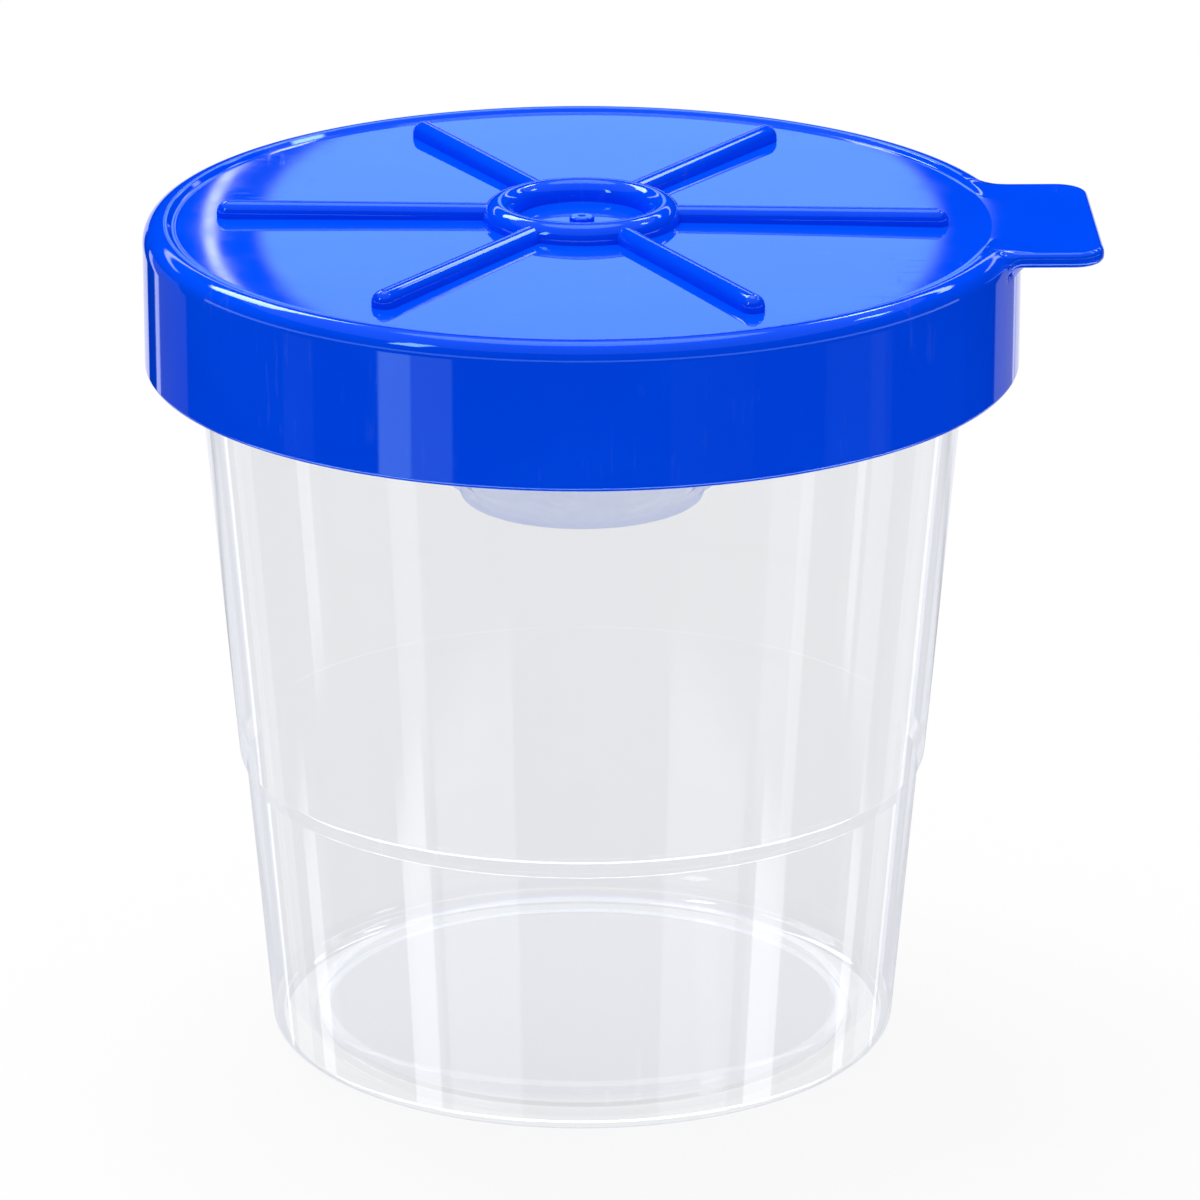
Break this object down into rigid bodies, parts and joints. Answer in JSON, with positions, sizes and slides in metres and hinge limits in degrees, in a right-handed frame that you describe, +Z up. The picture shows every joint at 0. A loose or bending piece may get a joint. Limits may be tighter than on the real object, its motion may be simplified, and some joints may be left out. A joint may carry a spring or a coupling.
{
  "type": "non-spill paint cup",
  "caption": "Clear tapered paint cup with a funnel-shaped spill guard over its rim and a ribbed blue lid with a pull tab; the guard and the lid lift off.",
  "frame": {"origin": "on the cup's axis, at the plane of the foot ring that it stands on", "axes": "+Z up the cup's axis through the lid, +X towards the lid's pull tab"},
  "size_m": [0.0958, 0.088, 0.0876],
  "materials": {
    "clear_plastic": "polished clear moulding",
    "natural_plastic": "translucent pale moulding, satin",
    "blue_plastic": "polished opaque moulding"
  },
  "bodies": {
    "cup": {"cup": "clear_plastic"},
    "spill_guard": {"spill_guard": "natural_plastic"},
    "lid": {"lid": "blue_plastic"}
  },
  "joints": [
    {"name": "guard_lift", "type": "slide", "parent": "cup", "child": "spill_guard", "axis": [0, 0, 1], "range_m": [0, 0.04]},
    {"name": "lid_lift", "type": "slide", "parent": "spill_guard", "child": "lid", "axis": [0, 0, 1], "range_m": [0, 0.035]}
  ]
}
